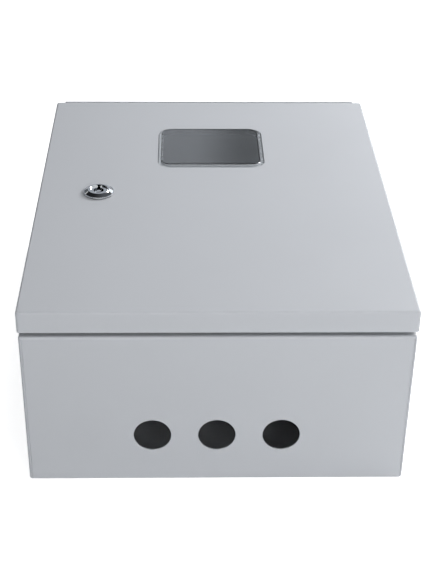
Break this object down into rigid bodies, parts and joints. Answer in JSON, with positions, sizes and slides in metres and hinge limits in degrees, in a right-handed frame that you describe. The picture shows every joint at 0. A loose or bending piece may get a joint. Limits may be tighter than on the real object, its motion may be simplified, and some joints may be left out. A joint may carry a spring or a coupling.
{
  "type": "electric meter box",
  "caption": "Wall-mounted sheet-steel electric meter box with a hinged door, viewing window, cam lock, inner mounting plate and round cable entries.",
  "frame": {"origin": "centre of the outer face of the back wall, the face that lies against the building wall", "axes": "+X across the door from the lock side to the hinge side, +Y up the door from the cable entries to the drip rail, +Z out of the door"},
  "size_m": [0.31, 0.397, 0.169],
  "materials": {
    "powder_coated_steel": "satin",
    "galvanised_sheet": "satin",
    "passivated_rail": "satin",
    "zinc_hardware": "satin",
    "copper_plated_stud": "satin",
    "foam_seal": "matte",
    "rubber_seal": "matte",
    "clear_pane": "gloss",
    "chrome_plate": "polished"
  },
  "bodies": {
    "enclosure": {"body_wrap": "powder_coated_steel", "bottom_panel": "powder_coated_steel", "top_panel": "powder_coated_steel", "drip_rail": "powder_coated_steel", "mounting_plate": "galvanised_sheet", "din_rail": "passivated_rail", "plate_studs": "zinc_hardware", "plate_nuts": "zinc_hardware", "rail_screws": "zinc_hardware", "earth_stud": "copper_plated_stud", "earth_washer": "zinc_hardware", "earth_nut": "zinc_hardware", "lower_hinge_bracket": "zinc_hardware", "upper_hinge_bracket": "zinc_hardware", "lower_hinge_pin": "zinc_hardware", "upper_hinge_pin": "zinc_hardware"},
    "door": {"door_panel": "powder_coated_steel", "door_gasket": "foam_seal", "window_seal": "rubber_seal", "window_pane": "clear_pane", "window_clamp": "galvanised_sheet", "window_studs": "copper_plated_stud", "window_nuts": "zinc_hardware", "door_earth_stud": "copper_plated_stud", "door_earth_nut": "zinc_hardware", "lock_housing": "chrome_plate", "lock_gasket": "rubber_seal", "lock_nut": "chrome_plate", "lower_hinge_leaf": "zinc_hardware", "upper_hinge_leaf": "zinc_hardware"},
    "lock_cylinder": {"lock_barrel": "chrome_plate", "lock_cam": "zinc_hardware", "cam_screw": "zinc_hardware"}
  },
  "joints": [
    {"name": "door_hinge", "type": "hinge", "parent": "enclosure", "child": "door", "pos_m": [0.1504, 0, 0.152], "axis": [0, 1, 0], "range_deg": [0, 120]},
    {"name": "lock_turn", "type": "hinge", "parent": "door", "child": "lock_cylinder", "pos_m": [-0.1018, -0.0016, 0.165], "axis": [0, 0, 1], "range_deg": [0, 90]}
  ]
}
